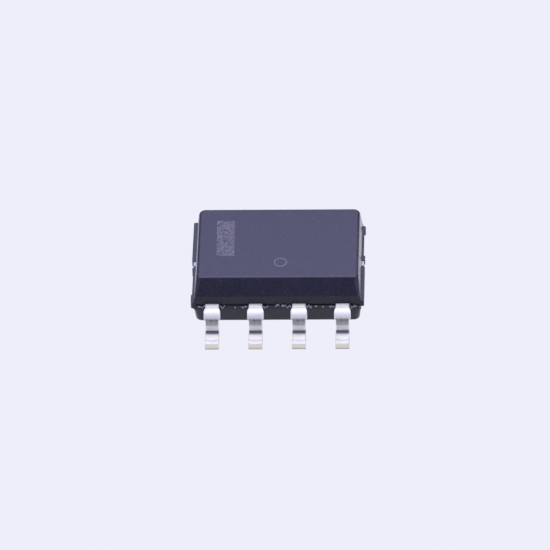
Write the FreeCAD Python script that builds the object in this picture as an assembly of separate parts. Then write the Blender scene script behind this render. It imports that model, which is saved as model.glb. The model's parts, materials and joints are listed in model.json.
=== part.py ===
import FreeCAD, Part
import math
import os

from FreeCAD import Vector

# Eight-lead small-outline integrated circuit: narrow body, gull-wing leads.
# Millimetres. The origin is on the seating plane, under the middle of the part.
# X runs along the two rows of leads, and Z is up. The chamfered side faces -Y.
# Leads 1 to 4 run along it from -X to +X, and leads 5 to 8 come back along +Y.

# Moulded body, measured where it is widest, at the lead frame's level. Its
# length follows from the row of leads and the resin beyond the end ones.
end_margin = 0.545
body_width = 3.90
upper_height = 0.635
lower_height = 0.47
standoff = 0.20
draft_angle = 7.0
back_corner_parting = 0.06
back_corner_top = 0.22
lower_corner_parting = 0.12
lower_corner_bottom = 0.18
top_rim_radius = 0.09
bottom_rim_radius = 0.08
chamfer_run = 0.385
chamfer_drop = 0.395
chamfer_blend_top = 0.17
chamfer_blend_foot = 0.05

# Shallow round marks that the ejector pins leave in the underside.
ejector_diameter = 0.80
ejector_depth = 0.03
ejector_spacing = 2.50

# Resin flash left on the parting band by trimming. Each end has a strip on
# each side of the tie bar, broken off at its own reach, and two lugs where
# more resin stayed. Overlaps are past the body's side, setbacks short of it.
flash_slot = 0.28
flash_radius = 0.05
flash_root = 0.25
left_back_reach = 0.105
left_front_reach = 0.058
left_back_overlap = 0.10
left_front_setback = 0.05
right_back_reach = 0.045
right_front_reach = 0.085
right_back_setback = 0.10
right_front_setback = 0.13
lug_reach = 0.088
small_lug_length = 0.23
corner_lug_length = 0.44
lug_radius = 0.08
tie_bar_lug_gap = 0.03
side_flash_reach = 0.035
side_flash_thickness = 0.12

# Lead frame: one strip thickness for the leads, the paddle and its tie bars.
leads_per_side = 4
lead_pitch = 1.27
lead_span = 6.00
lead_thickness = 0.20
exit_width = 0.40
shoulder_width = 0.485
leg_width = 0.405
shoulder_run = 0.20
shoulder_taper_run = 0.13
shoulder_bend_radius = 0.08
foot_bend_radius = 0.08
leg_slope = 84.0

# Inner ends of the leads, held in the moulding by their wider shoulders.
neck_depth = 0.14
inner_lead_width = 0.72
inner_lead_depth = 0.55
outer_lead_width = 0.50
outer_lead_depth = 1.20
inner_corner_radius = 0.06
lock_hole_diameter = 0.22

# Paddle that carries the die, set down below the leads on two tie bars. It
# fills the space that the inner leads leave, less a gap at its ends and sides.
pad_end_gap = 0.255
pad_side_gap = 0.25
pad_corner_radius = 0.10
pad_downset = 0.20
tie_bar_width = 0.20
tie_bar_run = 0.08
tie_bar_slope = 45.0
tie_bar_bend_radius = 0.05
tie_bar_stub = 0.055

# Silicon die and the epoxy that bonds it to the paddle.
die_length = 1.50
die_width = 1.20
die_thickness = 0.25
attach_thickness = 0.03
attach_margin = 0.05

# Gold bond wires: a ball on the die, a loop, and a flat stitch on the lead.
# They are finer than a hair, so their round section is drawn with few sides.
wire_diameter = 0.03
wire_sides = 8
ball_diameter = 0.075
ball_height = 0.022
bond_inset = 0.12
loop_height = 0.16
loop_bend_radius = 0.05
loop_bend_chords = 3
stitch_inset = 0.14
stitch_length = 0.09
stitch_width = 0.055

# Levels and half sizes that follow from the sizes above.
body_bottom = standoff
frame_bottom = body_bottom + lower_height
frame_middle = frame_bottom + lead_thickness / 2
frame_top = frame_bottom + lead_thickness
body_top = frame_top + upper_height
pad_top = frame_top - pad_downset
die_bottom = pad_top + attach_thickness
die_top = die_bottom + die_thickness
row_reach = (leads_per_side - 1) * lead_pitch / 2
body_length = 2 * (row_reach + end_margin)
side_wall = body_width / 2
end_wall = body_length / 2
pad_length = 2 * (row_reach - outer_lead_width / 2 - pad_end_gap)
pad_width = 2 * (side_wall - inner_lead_depth - pad_side_gap)
draft_slope = math.tan(math.radians(draft_angle))
wire_radius = wire_diameter / 2
level_slack = 1e-5
quarter_turn = 90
up = Vector(0, 0, 1)
origin = Vector(0, 0, 0)


def half_turn(shape):
    """The same piece on the other side of the part, half a turn about Z."""
    return shape.rotated(origin, up, 2 * quarter_turn)


def body_outline(inset, back_radius, front_radius, z):
    """The body's outline at a level; a corner with no radius stays sharp."""
    corners = ((1, 1, back_radius), (-1, 1, back_radius), (-1, -1, front_radius), (1, -1, front_radius))
    arcs = []
    for corner, (x_side, y_side, radius) in enumerate(corners):
        x = end_wall - inset - radius
        y = side_wall - inset - radius
        middle = Vector(x_side * x, y_side * y, z)
        arcs.append(
            [middle + heading(quarter_turn * (corner + part)) * radius for part in (0, 0.5, 1)]
        )
    edges = []
    for corner, arc in enumerate(arcs):
        edges.append(Part.LineSegment(arcs[corner - 1][-1], arc[0]).toShape())
        if corners[corner][-1] > 0:
            edges.append(Part.Arc(*arc).toShape())
    return Part.Wire(edges)


def heading(angle):
    """Unit vector in the XY plane, at an angle in degrees from +X."""
    return Vector(math.cos(math.radians(angle)), math.sin(math.radians(angle)), 0)


def plate(points, bottom, thickness, radius=0):
    """Flat plate over a plan outline, its upright edges rounded by radius."""
    corners = [Vector(x, y, bottom) for x, y in points]
    solid = Part.Face(Part.makePolygon(corners + corners[:1])).extrude(up * thickness)
    if radius > 0:
        solid = solid.makeFillet(radius, upright_edges(solid))
    return solid


def rectangle(x0, x1, y0, y1):
    """Corner points of a rectangle, counter-clockwise."""
    return [(x0, y0), (x1, y0), (x1, y1), (x0, y1)]


def upright_edges(solid):
    """Edges that run along Z."""
    return [
        edge
        for edge in solid.Edges
        if max(edge.BoundBox.XLength, edge.BoundBox.YLength) < level_slack
    ]


def edges_at(solid, level):
    """Edges that lie wholly at one level."""
    return [
        edge
        for edge in solid.Edges
        if max(abs(edge.BoundBox.ZMin - level), abs(edge.BoundBox.ZMax - level)) < level_slack
    ]


def upper_half():
    """The half above the band, its front corners sharp and its back ones not."""
    base = body_outline(0, back_corner_parting, 0, frame_top)
    top = body_outline(upper_height * draft_slope, back_corner_top, 0, body_top)
    return Part.makeLoft([base, top], True, True)


def lower_half():
    """The half below the band, with all four corners rounded."""
    radii = (lower_corner_parting, lower_corner_bottom)
    insets = (0, lower_height * draft_slope)
    levels = (frame_bottom, body_bottom)
    outlines = [body_outline(inset, radius, radius, z) for inset, radius, z in zip(insets, radii, levels)]
    return Part.makeLoft(outlines, True, True)


def parting_band():
    """The upright band at the lead frame's level, in line with the upper half."""
    outline = body_outline(0, back_corner_parting, 0, frame_bottom)
    return Part.Face(outline).extrude(up * lead_thickness)


def chamfer_cutter():
    """Prism that takes the long top edge off the side of leads 1 to 4."""
    edge = -(side_wall - upper_height * draft_slope)
    foot = edge - chamfer_drop * draft_slope
    clear = chamfer_drop
    slope = chamfer_drop / (chamfer_run + chamfer_drop * draft_slope)
    corners = [
        Vector(-body_length, foot - clear, body_top - chamfer_drop - clear * slope),
        Vector(-body_length, edge + chamfer_run + clear, body_top + clear * slope),
        Vector(-body_length, foot - clear, body_top + clear * slope),
    ]
    prism = Part.Face(Part.makePolygon(corners + corners[:1]))
    return prism.extrude(Vector(2 * body_length, 0, 0))


def blend_chamfer_ends(block):
    """Round the two ends of the chamfer, more at the top than at its foot."""
    for side in (-1, 1):
        edge = next(
            edge
            for edge in block.Edges
            if edge.BoundBox.ZMax > body_top - level_slack
            and frame_top < edge.BoundBox.ZMin - level_slack < body_top - chamfer_drop / 2
            and edge.BoundBox.Center.x * side > 0
        )
        radii = (chamfer_blend_foot, chamfer_blend_top)
        if edge.valueAt(edge.FirstParameter).z > edge.valueAt(edge.LastParameter).z:
            radii = radii[::-1]
        block = block.makeFillet(*radii, [edge])
    return block


def moulded_block():
    """The bare moulding: two drafted halves, the band between, the chamfer."""
    block = upper_half().fuse([parting_band(), lower_half()]).removeSplitter()
    block = blend_chamfer_ends(block.cut(chamfer_cutter()))
    block = block.makeFillet(top_rim_radius, edges_at(block, body_top))
    return block.makeFillet(bottom_rim_radius, edges_at(block, body_bottom))


def ejector_marks():
    """Two discs to sink into the underside."""
    return [
        Part.makeCylinder(
            ejector_diameter / 2, ejector_depth, Vector(x, 0, body_bottom)
        )
        for x in (-ejector_spacing / 2, ejector_spacing / 2)
    ]


def end_flash(reach, y0, y1, radius=flash_radius):
    """Flash that stands out from the +X end, as thick as the parting band."""
    outline = rectangle(end_wall - flash_root, end_wall + reach, y0, y1)
    return plate(outline, frame_bottom, lead_thickness, radius)


def right_flash():
    """Strips of the +X end, with lugs at the back and beside the tie bar."""
    slot = flash_slot / 2
    back = side_wall - right_back_setback
    lug_start = slot + tie_bar_lug_gap
    return [
        end_flash(right_back_reach, slot, back),
        end_flash(lug_reach, back - small_lug_length, back, lug_radius),
        end_flash(lug_reach, lug_start, lug_start + small_lug_length, lug_radius),
        end_flash(right_front_reach, right_front_setback - side_wall, -slot),
    ]


def left_flash():
    """Strips of the -X end, with lugs beside the tie bar and at the front."""
    slot = flash_slot / 2
    front = left_front_setback - side_wall
    pieces = [
        end_flash(left_back_reach, slot, side_wall + left_back_overlap),
        end_flash(left_front_reach, front, -slot),
        end_flash(lug_reach, -slot - small_lug_length, -slot, lug_radius),
        end_flash(lug_reach, front, front + corner_lug_length, lug_radius),
    ]
    return [piece.mirror(origin, Vector(1, 0, 0)) for piece in pieces]


def side_flash():
    """Thin flash along the +Y band, from one end of the body to the other."""
    reach = end_wall - back_corner_parting
    outline = rectangle(-reach, reach, side_wall - flash_root, side_wall + side_flash_reach)
    bottom = frame_middle - side_flash_thickness / 2
    return plate(outline, bottom, side_flash_thickness)


def all_flash():
    """Flash on both ends and both long sides; it differs from end to end."""
    return right_flash() + left_flash() + [side_flash(), half_turn(side_flash())]


def across(angle):
    """Upward normal of a strip that heads along +Y, tilted up by an angle."""
    return Vector(0, -math.sin(math.radians(angle)), math.cos(math.radians(angle)))


def along(angle):
    """Direction of a strip that heads along +Y, tilted up by an angle."""
    return Vector(0, math.cos(math.radians(angle)), math.sin(math.radians(angle)))


def bent_strip(start, steps, width):
    """Strip of lead frame, bent in the YZ plane and centred on X = 0.

    Each step is a straight length, the turn after it in degrees, up being
    positive, and the radius inside that bend.
    """
    faces = {lead_thickness / 2: [], -lead_thickness / 2: []}
    point = start
    angle = 0
    for length, turn, inside_radius in steps:
        ahead = point + along(angle) * length
        for side, edges in faces.items():
            offset = across(angle) * side
            edges.append(Part.LineSegment(point + offset, ahead + offset).toShape())
        point = ahead
        if turn:
            bend = math.copysign(inside_radius + lead_thickness / 2, turn)
            middle = point + across(angle) * bend
            for side, edges in faces.items():
                arc = [middle - across(angle + turn * part) * (bend - side) for part in (0, 0.5, 1)]
                edges.append(Part.Arc(*arc).toShape())
            angle += turn
            point = middle - across(angle) * bend
    upper, lower = faces.values()
    ends = [
        Part.LineSegment(upper[0].Vertexes[0].Point, lower[0].Vertexes[0].Point).toShape(),
        Part.LineSegment(upper[-1].Vertexes[-1].Point, lower[-1].Vertexes[-1].Point).toShape(),
    ]
    outline = Part.Wire(Part.__sortEdges__(upper + lower + ends))
    outline.translate(Vector(-width / 2, 0, 0))
    return Part.Face(outline).extrude(Vector(width, 0, 0))


def slope_length(rise, angle, radii):
    """Straight length between two opposite bends that step a strip by rise."""
    turned = sum(radius + lead_thickness / 2 for radius in radii)
    radians = math.radians(angle)
    return (rise - turned * (1 - math.cos(radians))) / math.sin(radians)


def outer_lead():
    """The lead outside the body: shoulder, leg and foot, still at full width."""
    drop = frame_middle - lead_thickness / 2
    radii = (shoulder_bend_radius, foot_bend_radius)
    leg = slope_length(drop, leg_slope, radii)
    radians = math.radians(leg_slope)
    turned = sum(radius + lead_thickness / 2 for radius in radii) * math.sin(radians)
    foot_start = side_wall + shoulder_run + turned + leg * math.cos(radians)
    steps = [
        (shoulder_run, -leg_slope, shoulder_bend_radius),
        (leg, leg_slope, foot_bend_radius),
        (lead_span / 2 - foot_start, 0, 0),
    ]
    return bent_strip(Vector(0, side_wall, frame_middle), steps, shoulder_width)


def lead_trims():
    """What stamping takes off one side of the full-width strip."""
    neck_end = side_wall + shoulder_run
    neck = plate(
        [
            (exit_width / 2, side_wall - neck_depth),
            (shoulder_width, side_wall - neck_depth),
            (shoulder_width, neck_end + shoulder_taper_run),
            (shoulder_width / 2, neck_end + shoulder_taper_run),
            (exit_width / 2, neck_end),
        ],
        0,
        body_top,
    )
    cut_level = frame_bottom - shoulder_bend_radius * (1 - math.cos(math.radians(leg_slope)))
    leg = plate(rectangle(leg_width / 2, shoulder_width, side_wall, lead_span), 0, cut_level)
    return [neck, leg]


def inner_lead(width, depth):
    """The lead inside the moulding: a neck that steps out to an anchor."""
    root = side_wall - neck_depth
    tip = side_wall - depth
    neck = plate(rectangle(-exit_width / 2, exit_width / 2, root, side_wall), frame_bottom, lead_thickness)
    anchor = plate(
        rectangle(-width / 2, width / 2, tip, root), frame_bottom, lead_thickness, inner_corner_radius
    )
    return [neck, anchor]


def lock_hole():
    """Hole in a long inner lead, which the resin fills."""
    middle = side_wall - (neck_depth + outer_lead_depth) / 2
    return Part.makeCylinder(
        lock_hole_diameter / 2, lead_thickness, Vector(0, middle, frame_bottom)
    )


def back_lead(index):
    """Lead of the +Y row, counted from its -X end."""
    trims = lead_trims()
    mirrored = [piece.mirror(origin, Vector(1, 0, 0)) for piece in trims]
    outside = outer_lead().cut(trims + mirrored)
    if at_row_end(index):
        lead = outside.fuse(inner_lead(outer_lead_width, outer_lead_depth)).cut(lock_hole())
    else:
        lead = outside.fuse(inner_lead(inner_lead_width, inner_lead_depth))
    lead = lead.removeSplitter()
    lead.translate(Vector(lead_place(index), 0, 0))
    return lead


def at_row_end(index):
    """Whether a lead is the first or the last of its row."""
    return index in (0, leads_per_side - 1)


def lead_place(index):
    """X of a lead, counted from the -X end of the row."""
    return index * lead_pitch - row_reach


def tie_bar():
    """Bar from the +Y edge of a paddle that is turned to face +Y, up to the end."""
    start = Vector(0, pad_length / 2, pad_top - lead_thickness / 2)
    radii = (tie_bar_bend_radius, tie_bar_bend_radius)
    slope = slope_length(pad_downset, tie_bar_slope, radii)
    radians = math.radians(tie_bar_slope)
    turned = sum(radius + lead_thickness / 2 for radius in radii) * math.sin(radians)
    level_start = pad_length / 2 + tie_bar_run + turned + slope * math.cos(radians)
    steps = [
        (tie_bar_run, tie_bar_slope, tie_bar_bend_radius),
        (slope, -tie_bar_slope, tie_bar_bend_radius),
        (end_wall + tie_bar_stub - level_start, 0, 0),
    ]
    return bent_strip(start, steps, tie_bar_width)


def die_pad():
    """Paddle with a tie bar to each end of the body."""
    outline = rectangle(-pad_length / 2, pad_length / 2, -pad_width / 2, pad_width / 2)
    paddle = plate(outline, pad_top - lead_thickness, lead_thickness, pad_corner_radius)
    bar = tie_bar().rotated(origin, up, -quarter_turn)
    return paddle.fuse([bar, half_turn(bar)]).removeSplitter()


def silicon_die():
    """The die, a plain sawn block."""
    corner = Vector(-die_length / 2, -die_width / 2, die_bottom)
    return Part.makeBox(die_length, die_width, die_thickness, corner)


def die_attach():
    """Bond layer under the die, squeezed out into a small fillet around it."""
    outlines = []
    for margin, z in ((attach_margin, pad_top), (0, die_bottom)):
        x = die_length / 2 + margin
        y = die_width / 2 + margin
        corners = [Vector(px, py, z) for px, py in rectangle(-x, x, -y, y)]
        outlines.append(Part.makePolygon(corners + corners[:1]))
    return Part.makeLoft(outlines, True, True)


def wire_section(centre, radius):
    """Level outline of a wire or ball, with flats that face along X and Y."""
    step = 360 / wire_sides
    rim = radius / math.cos(math.radians(step / 2))
    corners = [centre + heading(step * (side + 0.5)) * rim for side in range(wire_sides)]
    return Part.makePolygon(corners + corners[:1])


def wire_path(span):
    """Points of a bond wire in the XZ plane, from inside its ball to its stitch."""
    peak = Vector(0, 0, die_top + loop_height)
    landing = Vector(span - stitch_length / 2, 0, frame_top + wire_radius)
    fall = (landing - peak).normalize()
    tilt = math.degrees(math.acos(fall.dot(up)))
    setback = loop_bend_radius * math.tan(math.radians(tilt / 2))
    middle = peak - up * setback + Vector(loop_bend_radius, 0, 0)
    points = [Vector(0, 0, die_top + ball_height / 2)]
    for chord in range(loop_bend_chords + 1):
        turn = math.radians(tilt * chord / loop_bend_chords)
        points.append(middle + Vector(-math.cos(turn), 0, math.sin(turn)) * loop_bend_radius)
    return points + [landing]


def bond_wire(start, end):
    """Wire from a point of the die to a point of a lead, both in plan."""
    run = end - start
    path = wire_path(run.Length)
    mitred = 1
    tube = Part.makePolygon(path).makePipeShell(
        [wire_section(path[0], wire_radius)], True, False, mitred
    )
    ball = Part.Face(wire_section(Vector(0, 0, die_top), ball_diameter / 2)).extrude(up * ball_height)
    stitch = plate(
        rectangle(run.Length - stitch_length, run.Length, -stitch_width / 2, stitch_width / 2),
        frame_top,
        wire_radius,
    )
    wire = tube.fuse([ball, stitch])
    under = rectangle(run.Length - stitch_length, run.Length, -stitch_width, stitch_width)
    wire = wire.cut(plate(under, frame_bottom, lead_thickness)).removeSplitter()
    wire.rotate(origin, up, math.degrees(math.atan2(run.y, run.x)))
    wire.translate(start)
    return wire


def back_wire(index):
    """Bond wire to a lead of the +Y row, counted from its -X end."""
    spread = 2 * index / (leads_per_side - 1) - 1
    start = Vector(spread * (die_length / 2 - bond_inset), die_width / 2 - bond_inset, 0)
    depth = outer_lead_depth if at_row_end(index) else inner_lead_depth
    end = Vector(lead_place(index), side_wall - depth + stitch_inset, 0)
    return bond_wire(start, end)


def numbered(name, build):
    """Pieces of both rows under their lead numbers, front row first."""
    pieces = {}
    for number in range(1, leads_per_side + 1):
        piece = build(leads_per_side - number)
        pieces[f"{name}_{number}"] = half_turn(piece)
        pieces[f"{name}_{number + leads_per_side}"] = piece
    return pieces


def mold_body(embedded):
    """The moulding with its flash, marks and the pockets of what it holds."""
    body = moulded_block().fuse(all_flash()).removeSplitter()
    body = body.cut(ejector_marks())
    for piece in embedded:
        body = body.cut(piece)
    return body


def main():
    """Build every piece and write one STEP file for each."""
    nodes = {
        "die_pad": die_pad(),
        "die_attach": die_attach(),
        "silicon_die": silicon_die(),
        **numbered("lead", back_lead),
        **numbered("bond_wire", back_wire),
    }
    nodes["mold_body"] = mold_body(list(nodes.values()))
    os.makedirs("parts", exist_ok=True)
    for name, shape in nodes.items():
        shape.exportStep(f"parts/{name}.step")


main()
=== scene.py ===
"""Looks of an eight-lead small-outline chip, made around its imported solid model.

The moulding and everything inside it keep their solids and get finishes here. The
leads are drawn again from the same sizes, as stamped strips with rolled edges, cut
ends and tool marks. Ragged resin flash and plain laser marks are added.
"""

import json
import logging
import math
import random
from dataclasses import dataclass
from enum import Enum

import bmesh
import bpy
from mathutils import Matrix, Vector, noise

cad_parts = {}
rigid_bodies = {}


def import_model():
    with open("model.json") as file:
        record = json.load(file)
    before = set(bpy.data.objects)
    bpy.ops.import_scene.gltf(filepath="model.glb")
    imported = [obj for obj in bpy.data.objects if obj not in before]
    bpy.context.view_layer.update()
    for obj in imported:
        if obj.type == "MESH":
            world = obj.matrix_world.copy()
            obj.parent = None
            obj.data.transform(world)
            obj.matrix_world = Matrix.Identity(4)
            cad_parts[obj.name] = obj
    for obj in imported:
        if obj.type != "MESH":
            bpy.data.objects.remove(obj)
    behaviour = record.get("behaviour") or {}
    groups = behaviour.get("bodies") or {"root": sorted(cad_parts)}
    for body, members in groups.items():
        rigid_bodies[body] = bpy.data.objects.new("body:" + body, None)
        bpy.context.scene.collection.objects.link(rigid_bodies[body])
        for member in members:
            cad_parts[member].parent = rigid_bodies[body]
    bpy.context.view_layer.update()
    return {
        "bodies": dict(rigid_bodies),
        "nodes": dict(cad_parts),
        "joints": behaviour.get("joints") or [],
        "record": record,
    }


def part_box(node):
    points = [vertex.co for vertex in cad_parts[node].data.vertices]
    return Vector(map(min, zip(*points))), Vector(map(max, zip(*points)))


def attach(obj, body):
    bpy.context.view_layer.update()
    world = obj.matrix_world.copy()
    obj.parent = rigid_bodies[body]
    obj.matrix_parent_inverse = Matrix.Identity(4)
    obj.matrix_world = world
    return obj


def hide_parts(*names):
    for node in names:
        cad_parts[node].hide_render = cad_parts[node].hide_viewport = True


MM = 0.001
BODY = "root"
UV_NAME = "strip"
THIN_NAME = "thinness"
ABOVE_NAME = "above"
UP = Vector((0.0, 0.0, 1.0))
UNIT_GRID = 0.5

Colour = tuple[float, float, float, float]
Point = tuple[float, float]
Node = bpy.types.Node
Socket = bpy.types.NodeSocket
BMesh = bmesh.types.BMesh
log = logging.getLogger("chip")


def srgb(red: float, green: float, blue: float) -> Colour:
    """Turn a display colour into the linear one that shaders take.

    Args:
        red: Red, from 0 to 255.
        green: Green, from 0 to 255.
        blue: Blue, from 0 to 255.

    Returns:
        The linear colour, with full alpha.
    """
    knee, slope, lift, power, top = 0.04045, 12.92, 0.055, 2.4, 255.0
    linear = [
        part / slope if part <= knee else ((part + lift) / (1 + lift)) ** power
        for part in (red / top, green / top, blue / top)
    ]
    return (*linear, 1.0)


def between(first: Point, second: Point, share: float) -> Point:
    """Point at a share of the way from one point to another."""
    return first[0] + (second[0] - first[0]) * share, first[1] + (second[1] - first[1]) * share


class Slot(Enum):
    """The record's material slot names for the mould and the tin."""

    MOULD = "mold_compound"
    TIN = "tin_plate"


class Graph:
    """Nodes of one material, world or group, added with their values and links."""

    def __init__(self, tree: bpy.types.NodeTree) -> None:
        """Empty a node tree and keep it.

        Args:
            tree: The tree to fill.
        """
        self.tree = tree
        self.tree.nodes.clear()

    def add(self, kind: str, inputs: dict | None = None, **settings: object) -> Node:
        """Add one node.

        Args:
            kind: The node's type.
            inputs: Values or sockets for its inputs, by name or index.
            settings: Properties of the node.

        Returns:
            The new node.
        """
        node = self.tree.nodes.new(kind)
        for name, value in settings.items():
            setattr(node, name, value)
        for key, value in (inputs or {}).items():
            if isinstance(value, Socket):
                self.tree.links.new(value, node.inputs[key])
            else:
                node.inputs[key].default_value = value
        return node

    def math(self, operation: str, first: object, second: object = 0.0) -> Socket:
        """Add a Math node.

        Args:
            operation: The node's operation.
            first: First value or socket.
            second: Second value or socket.

        Returns:
            The result's socket.
        """
        node = self.add("ShaderNodeMath", {0: first, 1: second}, operation=operation)
        return node.outputs[0]

    def ramp(
        self, value: object, start: float, end: float, low: float = 0.0, high: float = 1.0
    ) -> Socket:
        """Add a clamped, smooth Map Range node.

        Args:
            value: What it maps.
            start: The value that gives low.
            end: The value that gives high.
            low: The result at the start.
            high: The result at the end.

        Returns:
            The result's socket.
        """
        inputs = {"Value": value, "From Min": start, "From Max": end, "To Min": low, "To Max": high}
        return self.add("ShaderNodeMapRange", inputs, interpolation_type="SMOOTHSTEP").outputs["Result"]

    def mix(self, share: object, first: object, second: object) -> Socket:
        """Add a Mix node for colours.

        Args:
            share: The share of the second colour.
            first: First colour or socket.
            second: Second colour or socket.

        Returns:
            The result's socket.
        """
        factor, colour_a, colour_b, result = 0, 6, 7, 2
        inputs = {factor: share, colour_a: first, colour_b: second}
        return self.add("ShaderNodeMix", inputs, data_type="RGBA").outputs[result]

    def place(self) -> Socket:
        """The Object coordinates."""
        return self.add("ShaderNodeTexCoord").outputs["Object"]

    def place_along(self, axis: str) -> Socket:
        """One of the Object coordinates, by its axis."""
        return self.add("ShaderNodeSeparateXYZ", {0: self.place()}).outputs[axis]


def grain_group() -> bpy.types.NodeTree:
    """Find or build the group that gives a surface its fine grain and its mottle.

    Returns:
        The group, with inputs Vector, Fine and Coarse, which are feature counts to
        the metre, and outputs Grain, Mottle and Speck, each from 0 to 1.
    """
    name = "grain and mottle"
    if name in bpy.data.node_groups:
        return bpy.data.node_groups[name]
    tree = bpy.data.node_groups.new(name, "ShaderNodeTree")
    for way, labels in (("INPUT", ("Vector", "Fine", "Coarse")), ("OUTPUT", ("Grain", "Mottle", "Speck"))):
        for label in labels:
            kind = "NodeSocketVector" if label == "Vector" else "NodeSocketFloat"
            tree.interface.new_socket(label, in_out=way, socket_type=kind)
    graph = Graph(tree)
    given, made = graph.add("NodeGroupInput"), graph.add("NodeGroupOutput")
    vector, fine, coarse = (given.outputs[label] for label in ("Vector", "Fine", "Coarse"))
    speck_gate = 0.86
    for label, scale, detail, start, end in (
        ("Grain", fine, 2.0, 0.25, 0.75),
        ("Mottle", coarse, 4.0, 0.3, 0.7),
    ):
        clouds = graph.add("ShaderNodeTexNoise", {"Vector": vector, "Scale": scale, "Detail": detail})
        graph.tree.links.new(graph.ramp(clouds.outputs["Fac"], start, end), made.inputs[label])
    cells = graph.add("ShaderNodeTexVoronoi", {"Vector": vector, "Scale": fine}).outputs["Color"]
    drawn = graph.add("ShaderNodeSeparateColor", {0: cells}).outputs[0]
    graph.tree.links.new(graph.ramp(drawn, speck_gate, 1.0), made.inputs["Speck"])
    return graph.tree


@dataclass(frozen=True)
class Finish:
    """A finish with two tones, a range of gloss, and grain in its relief.

    The feature sizes and the relief are in millimetres.
    """

    name: str
    tone: Colour
    second_tone: Colour
    metallic: float
    smooth: float
    rough: float
    grain: float
    mottle: float
    relief: float
    specular: float = 0.5
    specular_tint: Colour = (1.0, 1.0, 1.0, 1.0)
    coat: float = 0.0
    coat_rough: float = 0.3
    coat_index: float = 1.5

    def material(self) -> bpy.types.Material:
        """Find or build the material of this finish.

        Returns:
            The material.
        """
        if self.name in bpy.data.materials:
            return bpy.data.materials[self.name]
        made = bpy.data.materials.new(self.name)
        made.use_nodes = True
        self.dress(Graph(made.node_tree))
        return made

    def dress(self, graph: Graph) -> None:
        """Build the shader from the colour, the gloss and the height over the surface.

        Args:
            graph: The material's empty graph.
        """
        counts = {"Fine": 1 / (self.grain * MM), "Coarse": 1 / (self.mottle * MM)}
        grain = graph.add("ShaderNodeGroup", {"Vector": graph.place(), **counts}, node_tree=grain_group())
        colour, height = self.surface(graph, grain)
        gloss = graph.ramp(self.gloss(graph, grain), 0, 1, self.smooth, self.rough)
        bump = graph.add("ShaderNodeBump", {"Height": height, "Distance": self.relief * MM})
        shader = graph.add(
            "ShaderNodeBsdfPrincipled",
            {
                "Base Color": colour,
                "Roughness": gloss,
                "Normal": bump.outputs["Normal"],
                "Metallic": self.metallic,
                "Specular IOR Level": self.specular,
                "Specular Tint": self.specular_tint,
                "Coat Weight": self.coat,
                "Coat Roughness": self.coat_rough,
                "Coat IOR": self.coat_index,
            },
        )
        graph.add("ShaderNodeOutputMaterial", {"Surface": shader.outputs[0]})

    def surface(self, graph: Graph, grain: Node) -> tuple[Socket, Socket]:
        """The colour and the height over the surface; other kinds of finish give their own.

        Args:
            graph: The material's graph.
            grain: The grain group's node.

        Returns:
            The sockets of the colour and of the height.
        """
        return self.mottled(graph, grain), grain.outputs["Grain"]

    def mottled(self, graph: Graph, grain: Node) -> Socket:
        """The two tones, mixed by the mottle."""
        return graph.mix(grain.outputs["Mottle"], self.tone, self.second_tone)

    def gloss(self, graph: Graph, grain: Node) -> Socket:
        """What leads the roughness, from 0 to 1."""
        return grain.outputs["Grain"]


@dataclass(frozen=True)
class MouldFinish(Finish):
    """Spark-eroded mould surface in filled black resin, with a few pale grains of filler."""

    filler_tone: Colour = srgb(74, 74, 92)
    filler_share: float = 0.4
    grain_share: float = 0.6

    def surface(self, graph: Graph, grain: Node) -> tuple[Socket, Socket]:
        """Filler grains over the mottled resin.

        Args:
            graph: The material's graph.
            grain: The grain group's node.

        Returns:
            The sockets of the colour and of the height.
        """
        filler = graph.math("MULTIPLY", grain.outputs["Speck"], self.filler_share)
        return graph.mix(filler, self.mottled(graph, grain), self.filler_tone), grain.outputs["Grain"]

    def gloss(self, graph: Graph, grain: Node) -> Socket:
        """What leads the roughness: the grain, and in part the mottle."""
        fine = graph.math("MULTIPLY", grain.outputs["Grain"], self.grain_share)
        return graph.math("ADD", fine, graph.math("MULTIPLY", grain.outputs["Mottle"], 1 - self.grain_share))


@dataclass(frozen=True)
class FlashFinish(Finish):
    """Resin flash that is paler towards its broken outer edge: partly the paler broken resin, partly a
    painted highlight where the edges catch light.
    """

    broken_edge_and_highlight_tone: Colour = srgb(172, 169, 174)
    thin_start: float = 0.1
    thin_end: float = 0.8
    mottle_end: float = 0.7
    least_share: float = 0.35

    def surface(self, graph: Graph, grain: Node) -> tuple[Socket, Socket]:
        """The mottled resin, paler towards its outer edge: partly broken resin, partly painted highlight.

        Args:
            graph: The material's graph.
            grain: The grain group's node.

        Returns:
            The sockets of the colour and of the height.
        """
        thin = graph.add("ShaderNodeAttribute", attribute_name=THIN_NAME).outputs["Fac"]
        patches = graph.ramp(grain.outputs["Mottle"], 0.0, self.mottle_end, self.least_share, 1.0)
        # Paler towards the outer edge: partly broken resin, partly painted highlight where the edges catch
        # light.
        edge = graph.math("MULTIPLY", graph.ramp(thin, self.thin_start, self.thin_end), patches)
        return graph.mix(edge, self.mottled(graph, grain), self.broken_edge_and_highlight_tone), grain.outputs["Grain"]


@dataclass(frozen=True)
class ToolLine:
    """A faint line across a strip: its place along it, its half width and its sag, in millimetres."""

    place: float
    width: float
    sag: float
    strength: float


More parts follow.
